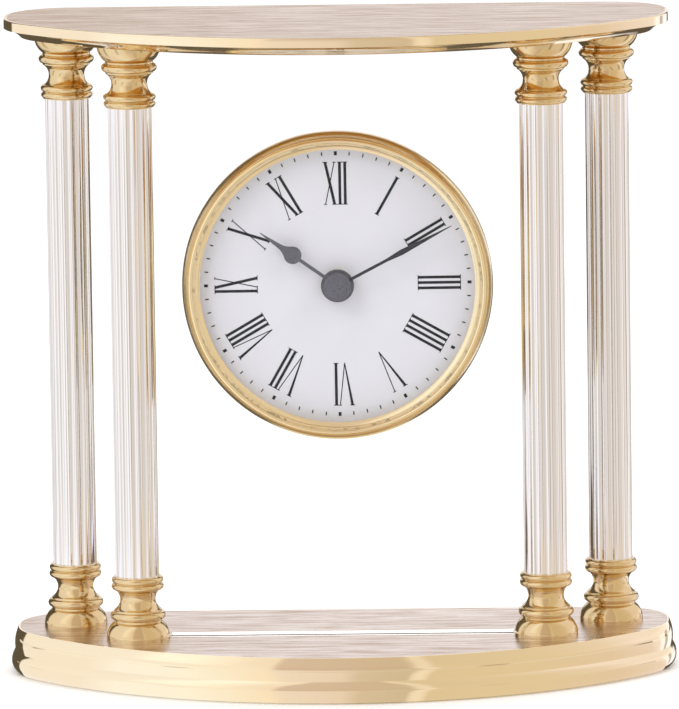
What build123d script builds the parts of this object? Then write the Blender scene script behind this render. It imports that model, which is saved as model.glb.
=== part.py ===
from build123d import *
from math import acos, asin, cos, degrees, pi, radians, sin, sqrt, tan
import os

# A four-column table clock with a bow front, in millimetres.
# X runs to the right, Y to the back, Z up. The origin lies under the middle of the base.

# Clearances and overruns
SLIP = 0.05  # between fixed pieces that fit into one another
RUNNING = 0.08  # all round an arbor that turns
SHAKE = 0.15  # along an arbor, between its shoulder and its bearing
OVERRUN = 1.0  # how far a cutter passes the face that it cuts

# Outline of both plates, seen from above: straight back, rounded ends, bowed front
PLATE_WIDTH = 214.8
PLATE_DEPTH = 90.0
END_DEPTH = 35.4  # from the back to where the bow would meet the ends
END_RADIUS = 28.0  # between the bow and the ends
BACK_CORNER_RADIUS = 21.0

# Heights
BASE_HEIGHT = 15.0
CAP_HEIGHT = 20.5
TUBE_LENGTH = 153.0
TOP_THICKNESS = 6.0

# Base rim: two stacked convex bands with a groove between them
RIM_WALL = 8.0
RIM_BOTTOM = 0.4
RIM_BOTTOM_INSET = 0.9
LOWER_BAND_REACH = 1.1  # beyond the plate's outline
LOWER_BAND_MIDDLE = 3.6
GROOVE_HEIGHT = 7.4
GROOVE_INSET = 0.25
UPPER_BAND_MIDDLE = 10.9
RIM_TOP_INSET = 1.3

# Inside of the base
WEB_BOTTOM = 9.0
WEB_OVERLAP = 2.0
BOTTOM_PLATE_THICKNESS = 2.5
BOTTOM_PLATE_INSET = 4.0
FELT_THICKNESS = 1.2
BOSS_RADIUS = 8.0

# Top plate: upright edge band over a hollow moulding
TOP_BAND_HEIGHT = 2.6
TOP_EDGE_ROUND = 0.4
COVE_STEP = 0.5
COVE_INSET = 5.4
COVE_HOLLOW = 0.35  # how far the moulding sags behind a straight bevel
TOP_RIM_WALL = 9.0

# Brushed faces let into both plates
FACE_THICKNESS = 1.0
FACE_LIP = 0.5  # polished lip left round the brushed face

# Columns
FRONT_COLUMN_FROM_BACK = 49.0
REAR_COLUMN_FROM_BACK = 24.0
REAR_COLUMN_FROM_END = 20.0
TUBE_RADIUS = 7.1
TUBE_BORE = 5.2
FLUTES = 16
FLUTE_WIDTH = 2.5
FLUTE_DEPTH = 0.42

# Turned cap, used as foot and, upside down, as capital; heights count from its plate
CAP_CORE = 7.7
OVOLO_REACH = 10.3
OVOLO_ROUND = 6.45
OVOLO_MIDDLE = 0.4
BEAD_REACH = 8.95
BEAD_ROUND = 1.4
BEAD_MIDDLE = 7.6
WAIST_RADIUS = 5.75
WAIST_ROUND = 3.95
WAIST_MIDDLE = 12.85
LOWER_COLLAR_REACH = 8.45
LOWER_COLLAR_ROUND = 1.1
LOWER_COLLAR_MIDDLE = 17.15
UPPER_COLLAR_REACH = 8.35
UPPER_COLLAR_ROUND = 1.0
UPPER_COLLAR_MIDDLE = 19.3
SPIGOT_LENGTH = 5.0

# Tie rods that clamp plates, caps and tubes together
ROD_RADIUS = 2.0
ROD_IN_TOP = 3.6
ROD_TAIL = 0.8  # of the rod below its nut
NUT_ACROSS_FLATS = 7.0
NUT_HEIGHT = 3.2
NUT_FLANGE_RADIUS = 4.5
NUT_FLANGE_THICKNESS = 0.8

# Glass panel between the inner columns, in a lined slot in each plate
PANEL_MARGIN = 11.55  # of glass on each side of the hole
PANEL_THICKNESS = 6.0
PANEL_SET_BACK = 4.6  # of its middle plane behind the inner columns
PANEL_TUBE_GAP = 0.3
PANEL_CAP_GAP = 0.4
PANEL_HOLE_GAP = 0.1
PANEL_NOTCH_RADIUS = 1.5
SLOT_DEPTH = 3.0
LINER_WALL = 0.8
DIAL_HEIGHT = 130.0  # of the dial's centre above the table

# Insert clock; its depths count forward from the front face of the glass panel
CRYSTAL_RADIUS = 46.65
CRYSTAL_THICKNESS = 1.4
CRYSTAL_RISE = 2.4
CRYSTAL_FLAT = 0.8  # flat margin of the crystal
BEZEL_CREST_WIDTH = 0.85  # from the crystal's edge out to the crest
BEZEL_SLOPE_WIDTH = 2.5  # from the crest out to the edge
BEZEL_LEDGE_WIDTH = 0.65  # of the seat under the crystal
BEZEL_INNER_WIDTH = 1.6  # of the hollow slope, from the seat in to the opening
BEZEL_CREST = 8.0
BEZEL_EDGE = 1.0  # upright outer edge
BEZEL_SWELL = 0.7  # how far the outer slope swells past its chord
BEZEL_LEDGE = 5.9  # where the crystal sits
BEZEL_LIP = 4.9
BEZEL_LIP_THICKNESS = 0.6
BEZEL_SKIRT_DEPTH = 5.0
BEZEL_SKIRT_WALL = 0.7
GASKET_THICKNESS = 0.3
GASKET_INSET = 0.6
DIAL_THICKNESS = 0.8
DIAL_RING_WALL = 0.9
CAN_WALL = 1.2
CAN_DEPTH = 13.0
CAN_BACK_WALL = 1.5
CAN_WINDOW_GAP = 0.3
RING_NUT_WALL = 2.1
RING_NUT_HEIGHT = 3.0
RING_NUT_NOTCHES = 6
RING_NUT_NOTCH_WIDTH = 6.0
RING_NUT_NOTCH_DEPTH = 1.1

# Movement housing
MOVEMENT_SIZE = 56.0
MOVEMENT_CORNER = 4.0
WASHER_THICKNESS = 0.6
WASHER_RADIUS = 9.0
LID_THICKNESS = 5.0
LID_WALL = 1.2
REAR_THICKNESS = 10.0
CAVITY_LEFT = 11.2  # from the centre arbor, seen from the front
CAVITY_SIDE_WALL = 1.8
CAVITY_BOTTOM = 10.3
PIVOT_DEPTH = 1.5

# Bushing that clamps the movement to the dial
BUSHING_RADIUS = 3.95
BUSHING_FRONT = 2.2
BUSHING_FLANGE_RADIUS = 6.0
BUSHING_FLANGE = 0.5
BUSHING_NUT_RADIUS = 4.8
BUSHING_NUT_HEIGHT = 1.8
BUSHING_NUT_SLOT = 1.2

# Motion work: 15 drives 45, and 12 beside it drives 48, so the hour hand turns once in twelve
MODULE = 0.4
PRESSURE_ANGLE = 25.0
ADDENDUM_SHARE = 0.8  # of the module
DEDENDUM_SHARE = 1.05  # of the module
TOOTH_SLACK = 0.1
CANNON_TEETH = 15
MINUTE_WHEEL_TEETH = 45
MINUTE_PINION_TEETH = 12
HOUR_WHEEL_TEETH = 48
SET_TEETH = 20
MINUTE_WHEEL_ANGLE = 60.0  # seen from the front, from the centre arbor
SET_ANGLE = 0.0  # from the minute wheel
WHEEL_THICKNESS = 0.8
PINION_THICKNESS = 1.1
LAYER_GAP = 0.3
CENTRE_ARBOR_RADIUS = 1.75
CENTRE_PIN_RADIUS = 1.2
HOUR_TUBE_WALL = 0.72
SMALL_ARBOR_RADIUS = 0.8
SET_ARBOR_RADIUS = 1.5
KNOB_RADIUS = 5.5
KNOB_HEIGHT = 3.4
KNOB_RIBS = 18
KNOB_RIB_DEPTH = 0.35

# Cell and its contacts
CELL_RADIUS = 7.25
CELL_LENGTH = 49.3
CELL_NUB_RADIUS = 2.75
CELL_NUB_LENGTH = 1.2
CELL_BELOW_CENTRE = 19.2
CELL_PROUD = 1.1  # of the movement's back
BAY_GAP = 0.3
BAY_END_ROOM = 1.2
CONTACT_THICKNESS = 0.4
CONTACT_WIDTH = 9.0
CONTACT_BOW = 0.5

# Hands, set to ten past ten
HAND_THICKNESS = 0.4
HOUR_HAND_FRONT = 4.4
MINUTE_HAND_FRONT = 5.7
HOUR_HAND_LENGTH = 30.3
HOUR_HUB_RADIUS = 5.35
HOUR_STEM_WIDTH = 1.1
HOUR_BULB_RADIUS = 2.85
HOUR_BULB_PLACE = 17.5
HOUR_SHOULDER_ANGLE = 40.0  # round the bulb from its widest place, where the point begins
HOUR_TAPER_PLACE = 22.8
HOUR_TAPER_WIDTH = 1.5
HOUR_TIP_WIDTH = 0.24
MINUTE_TIP_GAP = 2.7  # between the minute hand's tip and the bezel
MINUTE_HUB_RADIUS = 4.0
MINUTE_STEM_WIDTH = 0.95
MINUTE_LEAF_START = 18.0
MINUTE_LEAF_PLACE = 23.5
MINUTE_LEAF_WIDTH = 1.8
MINUTE_TIP_WIDTH = 0.2
HAND_CAP_RADIUS = 4.5
HAND_CAP_EDGE = 0.5
HAND_CAP_HEIGHT = 1.6
HAND_CAP_SOCKET = 0.6
MINUTES_PAST_TEN = 10.4

# Places that follow from the sizes
HALF_WIDTH = PLATE_WIDTH / 2
BACK_Y = PLATE_DEPTH / 2
BOW_DEPTH = PLATE_DEPTH - END_DEPTH
BOW_RADIUS = (HALF_WIDTH**2 + BOW_DEPTH**2) / (2 * BOW_DEPTH)
TUBE_BOTTOM = BASE_HEIGHT + CAP_HEIGHT
TOP_UNDERSIDE = TUBE_BOTTOM + TUBE_LENGTH + CAP_HEIGHT
FACE_INSET = RIM_TOP_INSET + FACE_LIP
TOP_FACE_INSET = TOP_EDGE_ROUND + FACE_LIP
SKIRT_RADIUS = CRYSTAL_RADIUS - BEZEL_SKIRT_WALL / 2 + SLIP
CAN_RADIUS = SKIRT_RADIUS - SLIP
RING_NUT_RADIUS = CAN_RADIUS + RING_NUT_WALL
BEZEL_CREST_RADIUS = CRYSTAL_RADIUS + BEZEL_CREST_WIDTH
BEZEL_RADIUS = BEZEL_CREST_RADIUS + BEZEL_SLOPE_WIDTH
BEZEL_LEDGE_RADIUS = CRYSTAL_RADIUS - BEZEL_LEDGE_WIDTH
BEZEL_OPENING_RADIUS = BEZEL_LEDGE_RADIUS - BEZEL_INNER_WIDTH
GASKET_RADIUS = BEZEL_RADIUS - GASKET_INSET
MINUTE_HAND_LENGTH = BEZEL_OPENING_RADIUS - MINUTE_TIP_GAP
PANEL_HOLE_RADIUS = SKIRT_RADIUS + BEZEL_SKIRT_WALL + PANEL_HOLE_GAP
PANEL_WIDTH = 2 * (PANEL_HOLE_RADIUS + PANEL_MARGIN)
FRONT_COLUMN_X = PANEL_WIDTH / 2 + PANEL_TUBE_GAP + TUBE_RADIUS
FRONT_COLUMN_Y = BACK_Y - FRONT_COLUMN_FROM_BACK
REAR_COLUMN_X = HALF_WIDTH - REAR_COLUMN_FROM_END
REAR_COLUMN_Y = BACK_Y - REAR_COLUMN_FROM_BACK
ROD_HOLE = ROD_RADIUS + SLIP
COLUMNS = {
    "front_left": (-FRONT_COLUMN_X, FRONT_COLUMN_Y),
    "front_right": (FRONT_COLUMN_X, FRONT_COLUMN_Y),
    "rear_left": (-REAR_COLUMN_X, REAR_COLUMN_Y),
    "rear_right": (REAR_COLUMN_X, REAR_COLUMN_Y),
}
PANEL_Y = FRONT_COLUMN_Y + PANEL_SET_BACK
TONGUE_WIDTH = 2 * (FRONT_COLUMN_X - OVOLO_REACH - PANEL_CAP_GAP)
LINER_WIDTH = PANEL_THICKNESS + 2 * (LINER_WALL + SLIP)
MOVEMENT_FRONT = -DIAL_THICKNESS - WASHER_THICKNESS
LID_INSIDE = MOVEMENT_FRONT - LID_WALL
SPLIT = MOVEMENT_FRONT - LID_THICKNESS  # between the movement's lid and its rear housing
MOVEMENT_BACK = SPLIT - REAR_THICKNESS
BUSHING_BORE = CENTRE_ARBOR_RADIUS + HOUR_TUBE_WALL + 2 * RUNNING
HOUR_WHEEL_FRONT = LID_INSIDE - BUSHING_FLANGE - LAYER_GAP
MINUTE_WHEEL_FRONT = HOUR_WHEEL_FRONT - WHEEL_THICKNESS - 2 * LAYER_GAP
CENTRE_DISTANCE = MODULE * (CANNON_TEETH + MINUTE_WHEEL_TEETH) / 2
SET_DISTANCE = MODULE * (MINUTE_WHEEL_TEETH + SET_TEETH) / 2
MINUTE_WHEEL_PLACE = (
    CENTRE_DISTANCE * cos(radians(MINUTE_WHEEL_ANGLE)),
    CENTRE_DISTANCE * sin(radians(MINUTE_WHEEL_ANGLE)),
)
SET_PLACE = (
    MINUTE_WHEEL_PLACE[0] + SET_DISTANCE * cos(radians(SET_ANGLE)),
    MINUTE_WHEEL_PLACE[1] + SET_DISTANCE * sin(radians(SET_ANGLE)),
)
MINUTE_HAND_TURN = -6 * MINUTES_PAST_TEN
HOUR_HAND_TURN = -300 - MINUTES_PAST_TEN / 2
CELL_DEPTH = MOVEMENT_BACK - CELL_PROUD + CELL_RADIUS  # of its axis
BAY_LENGTH = CELL_LENGTH + CELL_NUB_LENGTH + 2 * BAY_END_ROOM


def plan_wire(reach):
    """The plates' outline moved outward by reach, from the right end of the straight back round to it."""
    end_x = HALF_WIDTH - END_RADIUS
    bow_y = BOW_RADIUS - BACK_Y
    end_y = bow_y - sqrt((BOW_RADIUS - END_RADIUS) ** 2 - end_x**2)
    swing = degrees(asin(end_x / (BOW_RADIUS - END_RADIUS)))
    corner_x = HALF_WIDTH - BACK_CORNER_RADIUS
    corner_y = BACK_Y - BACK_CORNER_RADIUS
    side = HALF_WIDTH + reach
    corner = BACK_CORNER_RADIUS + reach
    end = END_RADIUS + reach
    edges = [
        Line((corner_x, BACK_Y + reach), (-corner_x, BACK_Y + reach)),
        CenterArc((-corner_x, corner_y), corner, 90, 90),
        Line((-side, corner_y), (-side, end_y)),
        CenterArc((-end_x, end_y), end, 180, 90 - swing),
        CenterArc((0, bow_y), BOW_RADIUS + reach, 270 - swing, 2 * swing),
        CenterArc((end_x, end_y), end, 270 + swing, 90 - swing),
        Line((side, end_y), (side, corner_y)),
        CenterArc((corner_x, corner_y), corner, 0, 90),
    ]
    return Wire([line.edge() for line in edges])


def plan_slab(reach, bottom, top):
    """A slab of the plates' outline moved outward by reach."""
    return Pos(0, 0, bottom) * extrude(make_face(plan_wire(reach)), top - bottom)


def plan_rim(lines):
    """A closed section of lines, as inset and height, carried round the plates' outline."""
    start = (HALF_WIDTH - BACK_CORNER_RADIUS, BACK_Y, 0)
    section = Plane(origin=start, x_dir=(0, -1, 0), z_dir=(-1, 0, 0)) * make_face(Wire([line.edge() for line in lines]))
    return sweep(section, path=plan_wire(0))


def box(width, depth, bottom, top, x=0, y=0):
    """An upright box between two heights."""
    return Pos(x, y, bottom) * Box(width, depth, top - bottom, align=(Align.CENTER, Align.CENTER, Align.MIN))


def rod(radius, bottom, top, place=(0, 0)):
    """An upright cylinder between two heights."""
    return Pos(*place, bottom) * Cylinder(radius, top - bottom, align=(Align.CENTER, Align.CENTER, Align.MIN))


def ring(outer, inner, bottom, top, place=(0, 0)):
    """An upright tube between two heights."""
    return rod(outer, bottom, top, place) - rod(inner, bottom - OVERRUN, top + OVERRUN, place)


def column_rods(radius, bottom, top):
    """One upright cylinder on each column's axis."""
    return [rod(radius, bottom, top, place) for place in COLUMNS.values()]


def turned(lines):
    """A closed section of lines, as radius and height, revolved about Z."""
    return revolve(Plane.XZ * make_face(Wire([line.edge() for line in lines])), Axis.Z)


# Base
def base_shell():
    """Rim of two convex bands with a web inside it, bosses for the rods, and a slot for the glass panel."""
    inner = RIM_WALL
    groove = (GROOVE_INSET, GROOVE_HEIGHT)
    top_edge = (RIM_TOP_INSET, BASE_HEIGHT)
    foot_edge = (RIM_BOTTOM_INSET, RIM_BOTTOM)
    rim = plan_rim(
        [
            Line((inner, RIM_BOTTOM), foot_edge),
            ThreePointArc(foot_edge, (-LOWER_BAND_REACH, LOWER_BAND_MIDDLE), groove),
            ThreePointArc(groove, (0, UPPER_BAND_MIDDLE), top_edge),
            Line(top_edge, (inner, BASE_HEIGHT)),
            Line((inner, BASE_HEIGHT), (inner, RIM_BOTTOM)),
        ]
    )
    shell = rim + plan_slab(WEB_OVERLAP - RIM_WALL, WEB_BOTTOM, BASE_HEIGHT)
    shell -= plan_slab(-FACE_INSET, BASE_HEIGHT - FACE_THICKNESS, BASE_HEIGHT + OVERRUN)
    shell -= plan_slab(SLIP - BOTTOM_PLATE_INSET, RIM_BOTTOM - OVERRUN, FELT_THICKNESS + BOTTOM_PLATE_THICKNESS)
    shell += column_rods(BOSS_RADIUS, WEB_BOTTOM - NUT_FLANGE_THICKNESS, WEB_BOTTOM + OVERRUN)
    shell -= column_rods(NUT_FLANGE_RADIUS + SLIP, WEB_BOTTOM - OVERRUN, WEB_BOTTOM)
    shell -= column_rods(ROD_HOLE, WEB_BOTTOM - OVERRUN, BASE_HEIGHT)
    return shell - panel_slot(BASE_HEIGHT - SLOT_DEPTH, BASE_HEIGHT)


def panel_slot(bottom, top):
    """Cutter for the slot that holds the lined edge of the glass panel."""
    return box(TONGUE_WIDTH + 4 * SLIP, LINER_WIDTH + 2 * SLIP, bottom, top, y=PANEL_Y)


def base_face():
    """Brushed face let into the base, under the feet."""
    face = plan_slab(-FACE_INSET - SLIP, BASE_HEIGHT - FACE_THICKNESS, BASE_HEIGHT)
    face -= column_rods(ROD_HOLE, 0, BASE_HEIGHT + OVERRUN)
    return face - panel_slot(0, BASE_HEIGHT + OVERRUN)


def bottom_plate():
    """Steel plate that closes and weights the base."""
    return plan_slab(-BOTTOM_PLATE_INSET, FELT_THICKNESS, FELT_THICKNESS + BOTTOM_PLATE_THICKNESS)


def felt_pad():
    return plan_slab(-BOTTOM_PLATE_INSET, 0, FELT_THICKNESS)


# Columns
def cap():
    """Turned cap standing on its plate: ovolo, bead, hollow waist, two collars, and a spigot for the tube."""
    section = Pos(CAP_CORE / 2, CAP_HEIGHT / 2) * Rectangle(CAP_CORE, CAP_HEIGHT)
    section -= Pos(WAIST_RADIUS + WAIST_ROUND, WAIST_MIDDLE) * Circle(WAIST_ROUND)
    mouldings = [
        (OVOLO_REACH, OVOLO_ROUND, OVOLO_MIDDLE),
        (BEAD_REACH, BEAD_ROUND, BEAD_MIDDLE),
        (LOWER_COLLAR_REACH, LOWER_COLLAR_ROUND, LOWER_COLLAR_MIDDLE),
        (UPPER_COLLAR_REACH, UPPER_COLLAR_ROUND, UPPER_COLLAR_MIDDLE),
    ]
    for reach, round_radius, middle in mouldings:
        section += Pos(reach - round_radius, middle) * Circle(round_radius)
    section &= Pos(OVOLO_REACH, CAP_HEIGHT / 2) * Rectangle(2 * OVOLO_REACH, CAP_HEIGHT)
    body = revolve(Plane.XZ * section, Axis.Z)
    body += rod(TUBE_BORE - SLIP, CAP_HEIGHT - OVERRUN, CAP_HEIGHT + SPIGOT_LENGTH)
    return body - rod(ROD_HOLE, -OVERRUN, CAP_HEIGHT + SPIGOT_LENGTH + OVERRUN)


def column_tube():
    """Fluted tube: shallow hollows round a plain bore."""
    flute_round = (FLUTE_WIDTH**2 / 4 + FLUTE_DEPTH**2) / (2 * FLUTE_DEPTH)
    place = TUBE_RADIUS - FLUTE_DEPTH + flute_round
    section = Circle(TUBE_RADIUS) - PolarLocations(place, FLUTES) * Circle(flute_round) - Circle(TUBE_BORE)
    return Pos(0, 0, TUBE_BOTTOM) * extrude(section, TUBE_LENGTH)


def tie_rod():
    bottom = WEB_BOTTOM - NUT_FLANGE_THICKNESS - NUT_HEIGHT - ROD_TAIL
    return rod(ROD_RADIUS, bottom, TOP_UNDERSIDE + ROD_IN_TOP)


def rod_nut():
    """Flanged nut under the base's web."""
    bottom = WEB_BOTTOM - NUT_FLANGE_THICKNESS - NUT_HEIGHT
    hexagon = RegularPolygon(NUT_ACROSS_FLATS / 2, 6, major_radius=False)
    nut = Pos(0, 0, bottom) * extrude(hexagon, NUT_HEIGHT)
    nut += rod(NUT_FLANGE_RADIUS, WEB_BOTTOM - NUT_FLANGE_THICKNESS, WEB_BOTTOM)
    return nut - rod(ROD_HOLE, bottom - OVERRUN, WEB_BOTTOM + OVERRUN)


# Top plate
def top_plate():
    """Edge band over a hollow moulding, recessed above for its face and slotted below for the glass panel."""
    top = TOP_UNDERSIDE + TOP_THICKNESS
    band_bottom = top - TOP_BAND_HEIGHT
    inner = TOP_RIM_WALL
    cove_top = (COVE_STEP, band_bottom)
    cove_foot = (COVE_INSET, TOP_UNDERSIDE)
    sag = ((COVE_STEP + COVE_INSET) / 2 + COVE_HOLLOW, (band_bottom + TOP_UNDERSIDE) / 2 + COVE_HOLLOW)
    rim = plan_rim(
        [
            Line((inner, TOP_UNDERSIDE), cove_foot),
            ThreePointArc(cove_foot, sag, cove_top),
            Line(cove_top, (0, band_bottom)),
            Line((0, band_bottom), (0, top - TOP_EDGE_ROUND)),
            RadiusArc((0, top - TOP_EDGE_ROUND), (TOP_EDGE_ROUND, top), TOP_EDGE_ROUND),
            Line((TOP_EDGE_ROUND, top), (inner, top)),
            Line((inner, top), (inner, TOP_UNDERSIDE)),
        ]
    )
    plate = rim + plan_slab(WEB_OVERLAP - TOP_RIM_WALL, TOP_UNDERSIDE, top)
    plate -= plan_slab(-TOP_FACE_INSET, top - FACE_THICKNESS, top + OVERRUN)
    plate -= column_rods(ROD_HOLE, TOP_UNDERSIDE - OVERRUN, TOP_UNDERSIDE + ROD_IN_TOP + SLIP)
    return plate - panel_slot(TOP_UNDERSIDE - OVERRUN, TOP_UNDERSIDE + SLOT_DEPTH)


def top_face():
    top = TOP_UNDERSIDE + TOP_THICKNESS
    return plan_slab(-TOP_FACE_INSET - SLIP, top - FACE_THICKNESS, top)


# Glass panel and its slot liners
def glass_panel():
    """Clear panel with a round hole, its corners notched round the caps."""
    bottom = BASE_HEIGHT - SLOT_DEPTH + LINER_WALL
    top = TOP_UNDERSIDE + SLOT_DEPTH - LINER_WALL
    neck_bottom = BASE_HEIGHT + CAP_HEIGHT + PANEL_CAP_GAP
    neck_top = TOP_UNDERSIDE - CAP_HEIGHT - PANEL_CAP_GAP
    tongue = Pos(0, (bottom + top) / 2) * Rectangle(TONGUE_WIDTH, top - bottom)
    field = Pos(0, (neck_bottom + neck_top) / 2) * Rectangle(PANEL_WIDTH, neck_top - neck_bottom)
    outline = tongue + field
    corners = [v for v in outline.vertices() if bottom < v.Y < top and abs(v.X) < PANEL_WIDTH / 2 - SLIP]
    outline = fillet(corners, PANEL_NOTCH_RADIUS)
    outline -= Pos(0, DIAL_HEIGHT) * Circle(PANEL_HOLE_RADIUS)
    panel = extrude(Plane.XZ * outline, PANEL_THICKNESS / 2, both=True)
    return Pos(0, PANEL_Y, 0) * panel


def slot_liner():
    """Channel round the edge of the glass panel, lying in the slot with its floor down."""
    channel = box(TONGUE_WIDTH + 2 * SLIP, LINER_WIDTH, 0, SLOT_DEPTH)
    return channel - box(PANEL_WIDTH, PANEL_THICKNESS + 2 * SLIP, LINER_WALL, SLOT_DEPTH + OVERRUN)


# Insert clock, drawn facing up and then stood up in the panel
def facing(piece):
    """Turns a piece drawn with its front up so that it faces forward, centred in the panel's hole."""
    return Pos(0, PANEL_Y - PANEL_THICKNESS / 2, DIAL_HEIGHT) * Rot(90, 0, 0) * piece


def bezel():
    """Turned ring: swelling outer slope, round crest, crystal seat, hollow inner slope, and a skirt."""
    seat = CRYSTAL_RADIUS + SLIP
    skirt = SKIRT_RADIUS + BEZEL_SKIRT_WALL
    edge_top = (BEZEL_RADIUS, GASKET_THICKNESS + BEZEL_EDGE)
    crest_out = (BEZEL_CREST_RADIUS + BEZEL_LIP_THICKNESS, BEZEL_CREST - BEZEL_LIP_THICKNESS / 3)
    crest_in = (seat, BEZEL_LEDGE + CRYSTAL_THICKNESS)
    slope = ((BEZEL_RADIUS + crest_out[0]) / 2 + BEZEL_SWELL, (edge_top[1] + crest_out[1]) / 2 + BEZEL_SWELL / 2)
    ledge_in = (BEZEL_LEDGE_RADIUS, BEZEL_LEDGE)
    lip = (BEZEL_OPENING_RADIUS, BEZEL_LIP)
    hollow = ((ledge_in[0] + lip[0]) / 2, (ledge_in[1] + lip[1]) / 2 - BEZEL_LIP_THICKNESS / 4)
    under = BEZEL_LIP - BEZEL_LIP_THICKNESS
    return turned(
        [
            Line((skirt, -BEZEL_SKIRT_DEPTH), (skirt, GASKET_THICKNESS)),
            Line((skirt, GASKET_THICKNESS), (BEZEL_RADIUS, GASKET_THICKNESS)),
            Line((BEZEL_RADIUS, GASKET_THICKNESS), edge_top),
            ThreePointArc(edge_top, slope, crest_out),
            ThreePointArc(crest_out, (BEZEL_CREST_RADIUS, BEZEL_CREST), crest_in),
            Line(crest_in, (seat, BEZEL_LEDGE)),
            Line((seat, BEZEL_LEDGE), ledge_in),
            ThreePointArc(ledge_in, hollow, lip),
            Line(lip, (BEZEL_OPENING_RADIUS, under)),
            Line((BEZEL_OPENING_RADIUS, under), (SKIRT_RADIUS, under)),
            Line((SKIRT_RADIUS, under), (SKIRT_RADIUS, -BEZEL_SKIRT_DEPTH)),
            Line((SKIRT_RADIUS, -BEZEL_SKIRT_DEPTH), (skirt, -BEZEL_SKIRT_DEPTH)),
        ]
    )


def bezel_gasket():
    return ring(GASKET_RADIUS, PANEL_HOLE_RADIUS, 0, GASKET_THICKNESS)


def crystal():
    """Domed glass of even thickness with a flat margin."""
    margin = CRYSTAL_RADIUS - CRYSTAL_FLAT
    low = BEZEL_LEDGE
    high = BEZEL_LEDGE + CRYSTAL_THICKNESS
    dome = (margin**2 + CRYSTAL_RISE**2) / (2 * CRYSTAL_RISE)
    half = margin / 2
    half_rise = CRYSTAL_RISE - (dome - sqrt(dome**2 - half**2))
    return turned(
        [
            Line((0, low + CRYSTAL_RISE), (0, high + CRYSTAL_RISE)),
            ThreePointArc((0, high + CRYSTAL_RISE), (half, high + half_rise), (margin, high)),
            Line((margin, high), (CRYSTAL_RADIUS, high)),
            Line((CRYSTAL_RADIUS, high), (CRYSTAL_RADIUS, low)),
            Line((CRYSTAL_RADIUS, low), (margin, low)),
            ThreePointArc((margin, low), (half, low + half_rise), (0, low + CRYSTAL_RISE)),
        ]
    )


def dial_ring():
    """Spacer between the dial and the bezel's lip."""
    return ring(CAN_RADIUS, CAN_RADIUS - DIAL_RING_WALL, 0, BEZEL_LIP - BEZEL_LIP_THICKNESS)


def dial():
    return ring(CAN_RADIUS, BUSHING_RADIUS + SLIP, -DIAL_THICKNESS, 0)


def clock_can():
    """Round can behind the dial, with a square window for the movement's back."""
    can = ring(CAN_RADIUS, CAN_RADIUS - CAN_WALL, -CAN_DEPTH, -DIAL_THICKNESS)
    can += rod(CAN_RADIUS - CAN_WALL / 2, -CAN_DEPTH, CAN_BACK_WALL - CAN_DEPTH)
    side = MOVEMENT_SIZE + 2 * CAN_WINDOW_GAP
    return can - box(side, side, -CAN_DEPTH - OVERRUN, CAN_BACK_WALL - CAN_DEPTH + OVERRUN)


def ring_nut():
    """Notched nut on the can that draws the bezel against the panel."""
    top = -PANEL_THICKNESS
    nut = ring(RING_NUT_RADIUS, CAN_RADIUS + SLIP, top - RING_NUT_HEIGHT, top)
    notch = box(2 * RING_NUT_NOTCH_DEPTH, RING_NUT_NOTCH_WIDTH, top - RING_NUT_HEIGHT - OVERRUN, top + OVERRUN)
    return nut - [place * notch for place in PolarLocations(RING_NUT_RADIUS, RING_NUT_NOTCHES)]


# Movement housing
def movement_block(bottom, top):
    square = RectangleRounded(MOVEMENT_SIZE, MOVEMENT_SIZE, MOVEMENT_CORNER)
    return Pos(0, 0, bottom) * extrude(square, top - bottom)


def cell_bay():
    """Cutter for the bay that holds the cell, open to the back."""
    width = 2 * (CELL_RADIUS + BAY_GAP)
    floor = CELL_DEPTH + CELL_RADIUS + BAY_GAP
    return box(BAY_LENGTH, width, MOVEMENT_BACK - OVERRUN, floor, y=-CELL_BELOW_CENTRE)


def pivot_hole(radius, bottom, top, place=(0, 0)):
    return rod(radius + RUNNING, bottom, top, place)


def movement_lid():
    """Front half of the movement, hollowed for the motion work."""
    lid = movement_block(SPLIT, MOVEMENT_FRONT)
    right = MOVEMENT_SIZE / 2 - CAVITY_SIDE_WALL
    width = right + CAVITY_LEFT
    height = right + CAVITY_BOTTOM
    middle = ((right - CAVITY_LEFT) / 2, (right - CAVITY_BOTTOM) / 2)
    lid -= box(width, height, SPLIT - OVERRUN, LID_INSIDE, *middle)
    lid -= rod(BUSHING_RADIUS + SLIP, LID_INSIDE - OVERRUN, MOVEMENT_FRONT + OVERRUN)
    for place in (MINUTE_WHEEL_PLACE, SET_PLACE):
        lid -= pivot_hole(SMALL_ARBOR_RADIUS, LID_INSIDE - OVERRUN, LID_INSIDE + LID_WALL / 2, place)
    return lid - cell_bay()


def movement_rear():
    """Rear half of the movement with the cell bay and the arbors' bearings."""
    rear = movement_block(MOVEMENT_BACK, SPLIT)
    rear -= pivot_hole(CENTRE_PIN_RADIUS, SPLIT - PIVOT_DEPTH - SHAKE, SPLIT + OVERRUN)
    rear -= pivot_hole(SMALL_ARBOR_RADIUS, SPLIT - PIVOT_DEPTH - SHAKE, SPLIT + OVERRUN, MINUTE_WHEEL_PLACE)
    rear -= pivot_hole(SET_ARBOR_RADIUS, MOVEMENT_BACK - OVERRUN, SPLIT + OVERRUN, SET_PLACE)
    return rear - cell_bay()


def centre_bushing():
    """Threaded bushing through the dial, with its flange inside the lid."""
    bushing = rod(BUSHING_RADIUS, LID_INSIDE - BUSHING_FLANGE, BUSHING_FRONT)
    bushing += rod(BUSHING_FLANGE_RADIUS, LID_INSIDE - BUSHING_FLANGE, LID_INSIDE)
    return bushing - rod(BUSHING_BORE, LID_INSIDE - OVERRUN, BUSHING_FRONT + OVERRUN)


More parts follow.
